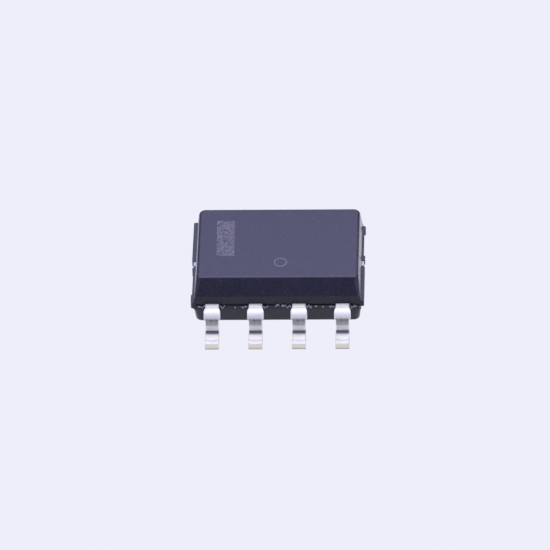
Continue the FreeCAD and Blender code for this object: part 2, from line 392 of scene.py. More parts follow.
@dataclass(frozen=True)
class TinFinish(Finish):
    """Matte tin over bent strip: crazed under the outer bend, with a painted highlight over the shoulder bend
    and the leg, and painted shade in the foot bend.

    The places are along the strip from the wall, in millimetres, as in its UV map. The
    crazing and the painted shade show on the upper side only.
    """

    # Painted highlight: a lighter tone over the shoulder bend and the leg.
    painted_highlight_tone: Colour = srgb(255, 254, 240)
    highlight_start: float = 0.27
    highlight_end: float = 0.80
    crazed_tone: Colour = srgb(112, 110, 116)
    crazed_start: float = 0.43
    crazed_end: float = 0.64
    crazed_half: float = 0.19
    crazed_core: float = 0.88
    crazed_depth: float = 3.0
    crack: float = 0.03
    # Painted shade: a darker tone in the concave foot bend.
    painted_crease_shade_tone: Colour = srgb(119, 116, 122)
    crease_shade_start: float = 0.803
    crease_shade_end: float = 1.05
    crease_shade_half: float = 0.195
    crease_shade_fade: float = 0.10
    band_fade: float = 0.025
    line_tone: Colour = srgb(170, 166, 154)
    line_reach: float = 0.2
    lines: tuple[ToolLine, ...] = (
        ToolLine(0.04, 0.14, 0.0, 0.2),
        ToolLine(0.19, 0.045, 0.0, 0.6),
        ToolLine(1.385, 0.085, 0.035, 0.52),
        ToolLine(1.48, 0.06, 0.0, 0.3),
    )

    def surface(self, graph: Graph, grain: Node) -> tuple[Socket, Socket]:
        """The plating, with the bands and the lines placed by the UV map.

        Args:
            graph: The material's graph.
            grain: The grain group's node.

        Returns:
            The sockets of the colour and of the height.
        """
        strip = graph.add("ShaderNodeUVMap", uv_map=UV_NAME).outputs["UV"]
        across, along, _ = graph.add("ShaderNodeSeparateXYZ", {0: strip}).outputs
        above = graph.add("ShaderNodeAttribute", attribute_name=ABOVE_NAME).outputs["Fac"]
        upper = graph.ramp(above, 0.1, 0.9)
        crazed = graph.math("MULTIPLY", upper, self.crazing(graph, strip, across, along))
        # Painted shade in the foot bend, on the upper side only.
        crease_shade = graph.math("MULTIPLY", upper, self.painted_crease_shade(graph, across, along))
        line = self.tool_lines(graph, across, along)
        # Painted highlight: a lighter band over the shoulder bend and the leg, where the light falls.
        highlight_band = self.band(graph, along, self.highlight_start, self.highlight_end)
        tone = graph.mix(highlight_band, self.mottled(graph, grain), self.painted_highlight_tone)
        tone = graph.mix(line, tone, self.line_tone)
        tone = graph.mix(crazed, tone, self.crazed_tone)
        tone = graph.mix(crease_shade, tone, self.painted_crease_shade_tone)
        cracked = graph.math("MULTIPLY", crazed, self.crazed_depth)
        height = graph.math("SUBTRACT", grain.outputs["Grain"], cracked)
        return tone, graph.math("SUBTRACT", height, line)

    def band(self, graph: Graph, along: Socket, start: float, end: float, fade: float = 0.03) -> Socket:
        """A band right across the strip, with soft edges.

        Args:
            graph: The material's graph.
            along: The place along the strip.
            start: Where the band starts.
            end: Where it ends.
            fade: Half the length over which it fades out at the end.

        Returns:
            The mask's socket, 1 in the band.
        """
        rise = graph.ramp(along, start - self.band_fade, start + self.band_fade)
        return graph.math("MULTIPLY", rise, graph.ramp(along, end - fade, end + fade, 1.0, 0.0))

    def painted_crease_shade(self, graph: Graph, across: Socket, along: Socket) -> Socket:
        """Painted shade: a dark band in the foot bend, standing in for the shade and the dark reflection
        there.

        Args:
            graph: The material's graph.
            across: The place across the strip.
            along: The place along the strip.

        Returns:
            The mask's socket, 1 in the band.
        """
        core, rim, outside = self.crease_shade_half - 0.025, self.crease_shade_half + 0.01, 0.35
        inside = graph.ramp(graph.math("ABSOLUTE", across), core, rim, 1.0, outside)
        band = self.band(graph, along, self.crease_shade_start, self.crease_shade_end, self.crease_shade_fade)
        return graph.math("MULTIPLY", inside, band)

    def crazing(self, graph: Graph, strip: Socket, across: Socket, along: Socket) -> Socket:
        """Streaks across the strip where the outer bend stretched the plating.

        Args:
            graph: The material's graph.
            strip: The UV map.
            across: The place across the strip.
            along: The place along the strip.

        Returns:
            The mask's socket, 1 in a streak.
        """
        stretch, detail, outside, tail = (0.4, 1.0, 1.0), 3.0, 0.3, 0.6
        flat = graph.add("ShaderNodeMapping", {"Vector": strip, "Scale": stretch}).outputs[0]
        cracks = graph.add("ShaderNodeTexNoise", {"Vector": flat, "Scale": 1 / self.crack, "Detail": detail})
        streak = graph.ramp(cracks.outputs["Fac"], 0.3, 0.65, 0.6, 1.0)
        core = self.crazed_half * self.crazed_core
        inside = graph.ramp(graph.math("ABSOLUTE", across), core, self.crazed_half, 1.0, outside)
        fade = graph.ramp(along, self.crazed_start, self.crazed_end, 1.0, tail)
        band = graph.math("MULTIPLY", inside, self.band(graph, along, self.crazed_start, self.crazed_end))
        return graph.math("MULTIPLY", graph.math("MULTIPLY", band, fade), streak)

    def tool_lines(self, graph: Graph, across: Socket, along: Socket) -> Socket:
        """The lines that the forming tools leave across the neck and the foot.

        Args:
            graph: The material's graph.
            across: The place across the strip.
            along: The place along the strip.

        Returns:
            The mask's socket, 1 on a line.
        """
        share = graph.math("DIVIDE", across, self.line_reach)
        square = graph.math("MULTIPLY", share, share)
        total: object = 0.0
        for line in self.lines:
            place = graph.math("ADD", along, graph.math("MULTIPLY", square, line.sag))
            off = graph.math("ABSOLUTE", graph.math("SUBTRACT", place, line.place))
            total = graph.math("ADD", graph.ramp(off, 0.0, line.width, line.strength, 0.0), total)
        return total


@dataclass(frozen=True)
class CutFinish(Finish):
    """Sheared end of a lead: plating dragged down from the top, bare copper lower down.

    The levels are in millimetres above the seating plane.
    """

    smear_tone: Colour = srgb(250, 245, 228)
    bottom_tone: Colour = srgb(178, 156, 158)
    smear_level: float = 0.13
    bottom_level: float = 0.05
    fade: float = 0.05
    wander: float = 0.06

    def surface(self, graph: Graph, grain: Node) -> tuple[Socket, Socket]:
        """The cut's tones, led by the height above the seating plane.

        Args:
            graph: The material's graph.
            grain: The grain group's node.

        Returns:
            The sockets of the colour and of the height.
        """
        level = graph.place_along("Z")
        wander = graph.math("MULTIPLY", grain.outputs["Mottle"], self.wander * MM)
        height = graph.math("ADD", level, wander)
        smear = graph.ramp(height, self.smear_level * MM, (self.smear_level + self.fade) * MM)
        bottom = graph.ramp(level, (self.bottom_level - self.fade) * MM, self.bottom_level * MM, 1.0, 0.0)
        bare = graph.mix(grain.outputs["Grain"], self.tone, self.second_tone)
        end = graph.mix(smear, bare, self.smear_tone)
        return graph.mix(bottom, end, self.bottom_tone), grain.outputs["Grain"]


@dataclass(frozen=True)
class TipFinish(Finish):
    """A metal whose tips, past a distance in millimetres from the middle along X, are cut bright."""

    tip_tone: Colour = srgb(176, 173, 182)
    tip_reach: float = 2.40
    fade: float = 0.01

    def surface(self, graph: Graph, grain: Node) -> tuple[Socket, Socket]:
        """The metal, with the tips' tone led by the place along X.

        Args:
            graph: The material's graph.
            grain: The grain group's node.

        Returns:
            The sockets of the colour and of the height.
        """
        out = graph.math("ABSOLUTE", graph.place_along("X"))
        tip = graph.ramp(out, (self.tip_reach - self.fade) * MM, self.tip_reach * MM)
        return graph.mix(tip, self.mottled(graph, grain), self.tip_tone), grain.outputs["Grain"]


MOULD = MouldFinish(
    "black resin", srgb(26, 25, 30), srgb(30, 29, 35), 0.0, 0.32, 0.42, 0.022, 0.35, 0.0017,
    0.22, (0.60, 0.61, 1.0, 1.0), 1.0, 0.25, 1.35,
)
FLASH = FlashFinish("resin flash", srgb(92, 90, 100), srgb(112, 110, 120), 0.0, 0.55, 0.8, 0.02, 0.05, 0.003)
TIN = TinFinish("matte tin", srgb(244, 243, 218), srgb(239, 238, 213), 0.25, 0.58, 0.70, 0.018, 0.16, 0.0008)
CUT = CutFinish(
    "sheared lead end", srgb(254, 248, 228), srgb(245, 239, 220), 0.6, 0.42, 0.58, 0.016, 0.05, 0.002
)
COPPER = TipFinish(
    "lead frame copper", srgb(206, 140, 104), srgb(188, 122, 90), 1.0, 0.28, 0.44, 0.02, 0.3, 0.001
)
EPOXY = Finish("silver epoxy", srgb(176, 176, 178), srgb(138, 138, 142), 0.5, 0.45, 0.7, 0.012, 0.05, 0.002)
SILICON = Finish("silicon", srgb(86, 88, 104), srgb(64, 70, 92), 0.8, 0.12, 0.28, 0.03, 0.12, 0.0003)
GOLD = Finish("gold wire", srgb(240, 196, 96), srgb(228, 180, 80), 1.0, 0.16, 0.3, 0.01, 0.08, 0.0003)
MARK = Finish("laser mark", srgb(112, 110, 111), srgb(98, 96, 99), 0.0, 0.6, 0.8, 0.02, 0.06, 0.002)


def linked(name: str, data: bpy.types.ID) -> bpy.types.Object:
    """Make an object of a mesh, a lamp or a camera, and link it to the scene.

    Args:
        name: The object's name.
        data: What it shows.

    Returns:
        The new object.
    """
    made = bpy.data.objects.new(name, data)
    bpy.context.scene.collection.objects.link(made)
    return made


def as_mesh(name: str, geometry: BMesh) -> bpy.types.Mesh:
    """Turn a bmesh into a mesh, and free it.

    Args:
        name: The mesh's name.
        geometry: The bmesh.

    Returns:
        The new mesh.
    """
    data = bpy.data.meshes.new(name)
    geometry.to_mesh(data)
    geometry.free()
    return data


def absorb(mesh: BMesh, part: BMesh) -> None:
    """Move the geometry of one bmesh into another.

    Args:
        mesh: Where it goes.
        part: Where it comes from. It is freed.
    """
    kept = as_mesh("part", part)
    mesh.from_mesh(kept)
    bpy.data.meshes.remove(kept)


def towards(azimuth: float, elevation: float) -> Vector:
    """Unit vector at an azimuth, from +Y to +X, and an elevation, in degrees."""
    turn, rise = math.radians(azimuth), math.radians(elevation)
    return Vector((math.sin(turn) * math.cos(rise), math.cos(turn) * math.cos(rise), math.sin(rise)))


def finished_piece(
    name: str, mesh: BMesh, finishes: list[Finish], smooth_angle: float = 35.0
) -> bpy.types.Object:
    """Make a bmesh into a piece of the chip that rides on its body.

    Args:
        name: The piece's name.
        mesh: The geometry, in the frame's place and in metres. It is freed.
        finishes: The finishes of its material slots, in order.
        smooth_angle: Edges up to this angle, in degrees, are shaded smooth.

    Returns:
        The new object.
    """
    limit = math.radians(smooth_angle)
    for face in mesh.faces:
        face.smooth = True
    for edge in mesh.edges:
        edge.smooth = len(edge.link_faces) == 2 and edge.calc_face_angle(0.0) < limit
    data = as_mesh(name, mesh)
    for finish in finishes:
        data.materials.append(finish.material())
    piece = linked(name, data)
    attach(piece, BODY)
    log.info("%s: %d faces", name, len(data.polygons))
    return piece


@dataclass(frozen=True)
class BentPath:
    """Middle line of a strip, bent in the YZ plane: straight runs and bends in turn.

    Each run is a length, the turn after it in degrees, up being positive, and the
    radius of that bend at the middle of the strip.
    """

    start: Vector
    runs: tuple[tuple[float, float, float], ...]

    def at(self, place: float) -> tuple[Vector, float]:
        """Find a point of the path.

        Args:
            place: The distance along the path from its start, which may be negative.

        Returns:
            The point, and the heading there in radians above the +Y direction.
        """
        point, heading, left = self.start.copy(), 0.0, place
        for length, turn, radius in self.runs:
            if left <= length or not turn:
                return point + self.along(heading) * left, heading
            point += self.along(heading) * length
            left -= length
            angle, bend = math.radians(turn), math.copysign(radius, turn)
            arc = abs(angle) * radius
            swept = angle * min(1.0, left / arc)
            middle = point + self.across(heading) * bend
            heading += swept
            point = middle - self.across(heading) * bend
            if left <= arc:
                return point, heading
            left -= arc
        return point, heading

    def length(self) -> float:
        """Length of the whole path."""
        return sum(length + abs(math.radians(turn)) * radius for length, turn, radius in self.runs)

    @staticmethod
    def along(heading: float) -> Vector:
        """Direction of a heading."""
        return Vector((0.0, math.cos(heading), math.sin(heading)))

    @staticmethod
    def across(heading: float) -> Vector:
        """Upward normal of a heading."""
        return Vector((0.0, -math.sin(heading), math.cos(heading)))


@dataclass(frozen=True)
class GullWingLeads:
    """The two rows of leads: stamped strip, bent down and out to a foot."""

    per_side: int = 4
    side_wall: float = 1.95 * MM
    exit_width: float = 0.40 * MM
    shoulder_width: float = 0.482 * MM
    stub_width: float = 0.488 * MM
    leg_width: float = 0.384 * MM
    foot_width: float = 0.410 * MM
    shoulder_run: float = 0.20 * MM
    taper_start: float = 0.165 * MM
    taper_run: float = 0.10 * MM
    foot_start: float = 0.78 * MM
    foot_run: float = 0.20 * MM
    bend_radius: float = 0.08 * MM
    leg_slope: float = 84.0
    thickness: float = 0.20 * MM
    join_depth: float = 0.05 * MM
    cut_depth: float = 0.07 * MM
    top_edge: float = 0.034 * MM
    under_edge: float = 0.014 * MM
    row_step: float = 0.014 * MM
    corner_steps: int = 4
    wide_steps: int = 8
    thick_steps: int = 3
    unevenness: float = 0.0022 * MM
    unevenness_count: float = 9.0
    weld: float = 0.00011 * MM
    dish_rim: float = 0.012 * MM
    dish_depth: float = 0.003 * MM
    seed: int = 11

    def build(self, frame: dict) -> None:
        """Make every lead, each in place of its solid.
        """
        for number in range(1, 2 * self.per_side + 1):
            node = f"lead_{number}"
            mesh = self.strip(number, *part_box(node))
            self.add_inner_end(mesh, frame["nodes"][node], number)
            piece = finished_piece(f"gull_wing_{number}", mesh, [TIN, CUT])
            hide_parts(node)

    def path(self, low: Vector, high: Vector) -> BentPath:
        """The middle line of a lead of the +Y row.

        Args:
            low: Lowest corner of the lead's box.
            high: Highest corner of the lead's box.

        Returns:
            The path, from the wall to the toe.
        """
        radius = self.bend_radius + self.thickness / 2
        slope = math.radians(self.leg_slope)
        drop = high.z - low.z - self.thickness
        leg = (drop - 2 * radius * (1 - math.cos(slope))) / math.sin(slope)
        foot_start = self.side_wall + self.shoulder_run + 2 * radius * math.sin(slope) + leg * math.cos(slope)
        reach = max(abs(low.y), abs(high.y))
        start = Vector((0.0, self.side_wall, high.z - self.thickness / 2))
        return BentPath(
            start,
            (
                (self.shoulder_run, -self.leg_slope, radius),
                (leg, self.leg_slope, radius),
                (reach - foot_start, 0.0, 0.0),
            ),
        )

    def half_width(self, place: float) -> float:
        """Half the width of the flat strip.

        Args:
            place: The distance from the wall along the strip.

        Returns:
            Half the width there.
        """
        bend = math.radians(self.leg_slope) * (self.bend_radius + self.thickness / 2)
        cut = self.shoulder_run + bend
        shear = 0.022 * MM
        stations = (
            (self.taper_start, self.exit_width),
            (self.taper_start + self.taper_run, self.shoulder_width),
            (cut - 4 * shear, self.shoulder_width),
            (cut - 2 * shear, self.stub_width),
            (cut - shear, self.stub_width),
            (cut + shear, self.leg_width),
            (self.foot_start, self.leg_width),
            (self.foot_start + self.foot_run, self.foot_width),
        )
        width = stations[0][1]
        for (start, first), (end, second) in zip(stations, stations[1:]):
            if place > start:
                share = min(1.0, (place - start) / (end - start))
                width = first + (second - first) * share
        return width / 2

    def section(self, half: float, step: int) -> Point:
        """Point of the strip's section, with wide rolled edges above, tight ones below.

        Args:
            half: Half the width there.
            step: The point's number round the section, from the middle of the top.

        Returns:
            The point across and above the middle of the strip.
        """
        outline: list[Point] = []
        deep, quarter = self.thickness / 2, 90.0
        corners = (
            (1, 1, self.top_edge, self.wide_steps // 2),
            (1, -1, self.under_edge, self.thick_steps),
            (-1, -1, self.under_edge, self.wide_steps),
            (-1, 1, self.top_edge, self.thick_steps),
        )
        last = (0.0, deep)
        for number, (side, level, radius, cuts) in enumerate(corners):
            centre = (side * (half - radius), level * (deep - radius))
            turns = [1 - number - turn / self.corner_steps for turn in range(self.corner_steps + 1)]
            arc = [self.rim(centre, radius, quarter * turn) for turn in turns]
            outline += [between(last, arc[0], cut / cuts) for cut in range(cuts)] + arc[:-1]
            last = arc[-1]
        cuts = self.wide_steps // 2
        outline += [between(last, (0.0, deep), cut / cuts) for cut in range(cuts)]
        return outline[step % len(outline)]

    def around(self) -> int:
        """Number of points round the section."""
        return 2 * (self.wide_steps + self.thick_steps) + 4 * self.corner_steps

    @staticmethod
    def rim(centre: Point, radius: float, angle: float) -> Point:
        """Point on a corner's arc, at an angle in degrees."""
        turn = math.radians(angle)
        return centre[0] + radius * math.cos(turn), centre[1] + radius * math.sin(turn)

    def strip(self, number: int, low: Vector, high: Vector) -> BMesh:
        """Wrap a flat grid round the section and bend it along the path.

        Args:
            number: The lead's number, which picks its row and its unevenness.
            low: Lowest corner of the lead's box.
            high: Highest corner of the lead's box.

        Returns:
            The lead outside the wall, open at its inner end, and closed at the toe.
        """
        path = self.path(low, high)
        length = path.length() + self.join_depth
        rows, columns = math.ceil(length / self.row_step), self.around()
        mesh = bmesh.new()
        layer = mesh.loops.layers.uv.new(UV_NAME)
        above = mesh.verts.layers.float.new(ABOVE_NAME)
        bmesh.ops.create_grid(mesh, x_segments=columns, y_segments=rows, size=UNIT_GRID, calc_uvs=True)
        for loop in (loop for face in mesh.faces for loop in face.loops):
            place, step = self.unrolled(loop.vert.co, length)
            across, _ = self.section(self.half_width(place), step)
            loop[layer].uv = (across / MM, place / MM)
        seed = Vector((self.seed, number, 0.0))
        for vertex in mesh.verts:
            place, step = self.unrolled(vertex.co, length)
            vertex[above] = self.section(self.half_width(place), step)[1] / (self.thickness / 2)
            vertex.co = self.bent(path, place, step, seed)
        bmesh.ops.remove_doubles(mesh, verts=mesh.verts, dist=self.weld)
        self.close_toe(mesh, max(abs(low.y), abs(high.y)))
        bmesh.ops.recalc_face_normals(mesh, faces=mesh.faces)
        turn = Matrix.Rotation(math.pi if number <= self.per_side else 0.0, 4, "Z")
        matrix = Matrix.Translation(((low.x + high.x) / 2, 0.0, 0.0)) @ turn
        bmesh.ops.transform(mesh, matrix=matrix, verts=mesh.verts)
        return mesh

    def unrolled(self, point: Vector, length: float) -> tuple[float, int]:
        """Place along the strip, and number round its section, of a point of the flat grid."""
        share, turn = point.y + UNIT_GRID, point.x + UNIT_GRID
        return share * length - self.join_depth, round(turn * self.around())

    def bent(self, path: BentPath, place: float, step: int, seed: Vector) -> Vector:
        """Point of the bent strip.

        Args:
            path: The strip's middle line.
            place: The distance from the wall along the strip.
            step: The point's number round the section.
            seed: Where the unevenness is read.

        Returns:
            The point, for a lead of the +Y row that is centred on X = 0.
        """
        across, above = self.section(self.half_width(place), step)
        point, heading = path.at(place)
        flat = Vector((across, place, above)) * (self.unevenness_count / MM)
        wander = noise.noise(flat + seed)
        across += math.copysign(abs(wander) * self.unevenness, -across)
        return point + path.across(heading) * above + Vector((across, 0.0, 0.0))

    def close_toe(self, mesh: BMesh, reach: float) -> None:
        """Close the sheared end with a slightly dished face in the second material.

        Args:
            mesh: The strip.
            reach: How far out the toe lies.
        """
        inside = reach - self.dish_depth / 3
        ends = [edge for edge in mesh.edges if edge.is_boundary]
        rim = [edge for edge in ends if all(vertex.co.y > inside for vertex in edge.verts)]
        made = bmesh.ops.contextual_create(mesh, geom=rim)["faces"]
        inset = bmesh.ops.inset_region(mesh, faces=made, thickness=self.dish_rim, depth=-self.dish_depth)
        for face in made + inset["faces"]:
            face.material_index = 1

    def add_inner_end(self, mesh: BMesh, node: bpy.types.Object, number: int) -> None:
        """Join on the part inside the moulding, cut from a merged copy of the solid.

        Args:
            mesh: The strip outside the wall.
            node: The lead's solid.
            number: The lead's number.
        """
        side = -1.0 if number <= self.per_side else 1.0
        inner = bmesh.new()
        inner.from_mesh(node.data)
        bmesh.ops.remove_doubles(inner, verts=inner.verts, dist=0.0005 * MM)
        everything = inner.verts[:] + inner.edges[:] + inner.faces[:]
        cut = Vector((0.0, side * (self.side_wall - self.cut_depth), 0.0))
        bmesh.ops.bisect_plane(
            inner, geom=everything, plane_co=cut, plane_no=Vector((0.0, side, 0.0)), clear_outer=True
        )
        absorb(mesh, inner)
        open_edges = [edge for edge in mesh.edges if edge.is_boundary]
        bmesh.ops.bridge_loops(mesh, edges=open_edges)
        bmesh.ops.recalc_face_normals(mesh, faces=mesh.faces)


@dataclass(frozen=True)
class ResinFlash:
    """Ragged curls of resin left along the parting band, thin where they broke off and paler there, partly by
    a painted highlight.
    """

    wall: float = 1.985 * MM
    root: float = 0.055 * MM
    reach: float = 0.055 * MM
    thickness: float = 0.030 * MM
    step: float = 0.010 * MM
    rows: int = 3
    wander: float = 0.014 * MM
    least_columns: int = 5
    ragged_count: float = 24.0
    ragged_least: float = 0.4
    ragged_range: float = 1.4
    ragged_most: float = 1.3
    end_least: float = 0.1
    end_slope: float = 5.0
    seed_range: float = 90.0
    lead_edge: float = 0.20 * MM
    curl_steps: tuple[Point, ...] = ((0.02, 0.04), (0.04, 0.06), (0.06, 0.10))
    curl_flip: float = 0.25
    crumb_length: Point = (0.04, 0.09)
    crumb_gap: Point = (0.02, 0.10)
    crumb_share: float = 0.7
    corner_gap: float = 0.10 * MM
    bare_middle: float = 0.40 * MM
    high: float = 0.838 * MM
    low: float = 0.785 * MM
    long_strokes: tuple[tuple[Point, ...], ...] = (
        ((-0.072, 0.80), (-0.045, 0.84), (0.0, 0.872), (0.06, 0.862)),
        ((0.12, 0.842), (0.20, 0.840), (0.26, 0.832)),
    )
    seed: int = 5

    def build(self) -> None:
        """Make the flash of both long sides."""
        for name, turn in (("flash_front", 0.0), ("flash_back", math.pi)):
            mesh = bmesh.new()
            mesh.verts.layers.float.new(THIN_NAME)
            rng = random.Random(f"{self.seed} {name}")
            for route in self.routes(rng):
                self.add_curl(mesh, route, rng)
            matrix = Matrix.Rotation(turn, 4, "Z")
            bmesh.ops.transform(mesh, matrix=matrix, verts=mesh.verts)
            finished_piece(name, mesh, [FLASH], 60.0)

    def routes(self, rng: random.Random) -> list[list[Point]]:
        """Routes of the curls: one on each side of every lead of the front row, and crumbs between.

        Args:
            rng: Where the small differences come from.

        Returns:
            Points of each route, as X and the height above the seating plane.
        """
        found = [[(x * MM, level * MM) for x, level in stroke] for stroke in self.long_strokes]
        for number in range(1, GullWingLeads.per_side + 1):
            low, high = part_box(f"lead_{number}")
            for side in (-1, 1):
                edge = (low.x + high.x) / 2 + side * self.lead_edge
                found.append(self.curl_route(edge, side, rng))
        low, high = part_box("mold_body")
        place = low.x + self.corner_gap
        while place < high.x - self.corner_gap:
            length = rng.uniform(*self.crumb_length) * MM
            level = rng.uniform(self.low, self.high)
            if rng.random() < self.crumb_share and abs(place) > self.bare_middle:
                found.append([(place, level), (place + length, level + rng.uniform(-1, 1) * self.wander)])
            place += length + rng.uniform(*self.crumb_gap) * MM
        return found

    def curl_route(self, edge: float, side: int, rng: random.Random) -> list[Point]:
        """Route of one curl, which dips and comes up again as it leaves the lead.

        Args:
            edge: X of the lead's edge.
            side: Which way it leaves the lead, 1 or -1.
            rng: Where its shape comes from.

        Returns:
            Its points.
        """
        steps = [rng.uniform(*span) * MM for span in self.curl_steps]
        levels = [self.high, self.low, self.high]
        if rng.random() < self.curl_flip:
            levels = [self.low, self.high, self.low]
        x, route = edge, []
        for step, level in zip(steps, levels):
            x += side * step
            route.append((x, level + rng.uniform(-1, 1) * self.wander))
        return route if side > 0 else route[::-1]

    def add_curl(self, mesh: BMesh, route: list[Point], rng: random.Random) -> None:
        """Add one curl: a ragged ribbon that stands on its route, out from the -Y band.

        Args:
            mesh: Where it goes.
            route: Its points.
            rng: Where its raggedness comes from.
        """
        curl = bmesh.new()
        thin = curl.verts.layers.float.new(THIN_NAME)
        lengths = [math.dist(first, second) for first, second in zip(route, route[1:])]
        columns = max(self.least_columns, round(sum(lengths) / self.step))
        bmesh.ops.create_grid(curl, x_segments=columns, y_segments=self.rows, size=UNIT_GRID)
        seed = Vector((rng.uniform(0, self.seed_range), rng.uniform(0, self.seed_range), 0.0))
        apart = 3.0
        for vertex in curl.verts:
            share, out = vertex.co.x + UNIT_GRID, vertex.co.y + UNIT_GRID
            x, level = self.on_route(route, lengths, share)
            along = x / MM * self.ragged_count
            ends = min(1.0, self.end_slope * min(share, 1 - share) + self.end_least)
            rough = abs(noise.noise(Vector((along, 0.0, 0.0)) + seed))
            tongue = self.reach * min(self.ragged_most, self.ragged_least + self.ragged_range * rough) * ends
            lift = noise.noise(Vector((along, out, apart)) + seed) * self.wander * (1 + out)
            vertex[thin] = out
            vertex.co = Vector((x, -(self.wall - self.root + (self.root + tongue) * out), level + lift))
        bmesh.ops.solidify(curl, geom=curl.faces[:], thickness=self.thickness)
        bmesh.ops.recalc_face_normals(curl, faces=curl.faces)
        absorb(mesh, curl)

    @staticmethod
    def on_route(route: list[Point], lengths: list[float], share: float) -> Point:
        """Point at a share of the way along a route.

        Args:
            route: The route's points.
            lengths: The lengths between them.
            share: The share, from 0 to 1.

        Returns:
            The point.
        """
        left = share * sum(lengths)
        for (first, second), length in zip(zip(route, route[1:]), lengths):
            if left <= length:
                return between(first, second, left / length)
            left -= length
        return route[-1]


@dataclass(frozen=True)
class LaserMarks:
    """Plain marks on the top face: a block of small cells and a ring, no lettering."""

    block_middle: Point = (-1.553 * MM, 0.415 * MM)
    block_size: Point = (0.522 * MM, 1.70 * MM)
    block_turn: float = 0.9
    cell: float = 0.029 * MM
    fill: float = 0.62
    border_fill: float = 0.8
    ring_middle: Point = (0.08 * MM, -0.775 * MM)
    ring_radius: float = 0.172 * MM
    ring_stretch: float = 1.15
    line: float = 0.036 * MM
    depth: float = 0.0015 * MM
    proud: float = 0.0006 * MM
    ring_steps: int = 48
    seed: int = 23

    def build(self) -> None:
        """Make both marks on the top of the moulding."""
        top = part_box("mold_body")[1].z + self.proud
        finished_piece("laser_block", self.block(top), [MARK])
        finished_piece("laser_ring", self.ring(top), [MARK])

    def block(self, top: float) -> BMesh:
        """A block of cells, filled at random, more closely along two sides.

        Args:
            top: The level of the marks.

        Returns:
            The mesh.
        """
        rng = random.Random(self.seed)
        columns, rows = (round(size / self.cell) for size in self.block_size)
        mesh = bmesh.new()
        bmesh.ops.create_grid(mesh, x_segments=columns, y_segments=rows, size=UNIT_GRID)
        bmesh.ops.scale(mesh, vec=(columns * self.cell, rows * self.cell, 1.0), verts=mesh.verts)
        fills = {True: self.border_fill, False: self.fill}
        bare = [face for face in mesh.faces if rng.random() > fills[self.on_border(face)]]
        bmesh.ops.delete(mesh, geom=bare, context="FACES")
        made = bmesh.ops.extrude_face_region(mesh, geom=mesh.faces[:])["geom"]
        moved = [part for part in made if isinstance(part, bmesh.types.BMVert)]
        bmesh.ops.translate(mesh, vec=UP * -self.depth, verts=moved)
        turn = Matrix.Rotation(math.radians(self.block_turn), 4, "Z")
        place = Matrix.Translation((*self.block_middle, top)) @ turn
        bmesh.ops.transform(mesh, matrix=place, verts=mesh.verts)
        bmesh.ops.recalc_face_normals(mesh, faces=mesh.faces)
        return mesh

    def on_border(self, face: bmesh.types.BMFace) -> bool:
        """Tell whether a cell lies on the left or lower border of the block.

        Args:
            face: The cell.

        Returns:
            True on those two borders.
        """
        middle = face.calc_center_median()
        left = middle.x < self.cell - self.block_size[0] / 2
        low = middle.y < self.cell - self.block_size[1] / 2
        return left or low

    def ring(self, top: float) -> BMesh:
        """A plain ring, spun from the section of its line.

        Args:
            top: The level of the marks.

        Returns:
            The mesh.
        """
        mesh = bmesh.new()
        bmesh.ops.create_grid(mesh, x_segments=1, y_segments=1, size=UNIT_GRID)
        bmesh.ops.delete(mesh, geom=mesh.faces[:], context="FACES_ONLY")
        bmesh.ops.scale(mesh, vec=(self.line, self.depth, 1.0), verts=mesh.verts)
        bmesh.ops.rotate(mesh, matrix=Matrix.Rotation(math.pi / 2, 3, "X"), verts=mesh.verts)
        bmesh.ops.translate(mesh, vec=(self.ring_radius, 0.0, 0.0), verts=mesh.verts)
        section = mesh.verts[:] + mesh.edges[:]
        bmesh.ops.spin(
            mesh, geom=section, axis=UP, angle=2 * math.pi, steps=self.ring_steps, use_merge=True
        )
        bmesh.ops.scale(mesh, vec=(1.0, self.ring_stretch, 1.0), verts=mesh.verts)
        bmesh.ops.translate(mesh, vec=(*self.ring_middle, top - self.depth / 2), verts=mesh.verts)
        bmesh.ops.recalc_face_normals(mesh, faces=mesh.faces)
        return mesh


@dataclass(frozen=True)
class Softbox:
    """A soft lamp that points at the chip."""

    name: str
    azimuth: float
    elevation: float
    distance: float
    width: float
    height: float
    radiance: float
    colour: tuple[float, float, float]

    def place(self) -> None:
        """Hang the lamp."""
        data = bpy.data.lights.new(self.name, "AREA")
        data.shape = "RECTANGLE"
        data.size, data.size_y = self.width, self.height
        data.energy = self.radiance * math.pi * self.width * self.height
        data.color = self.colour
        lamp = linked(self.name, data)
        away = towards(self.azimuth, self.elevation)
        lamp.location = away * self.distance
        lamp.rotation_mode = "QUATERNION"
        lamp.rotation_quaternion = away.to_track_quat("Z", "Y")
        lamp.visible_camera = False
        log.info("lamp %s", self.name)


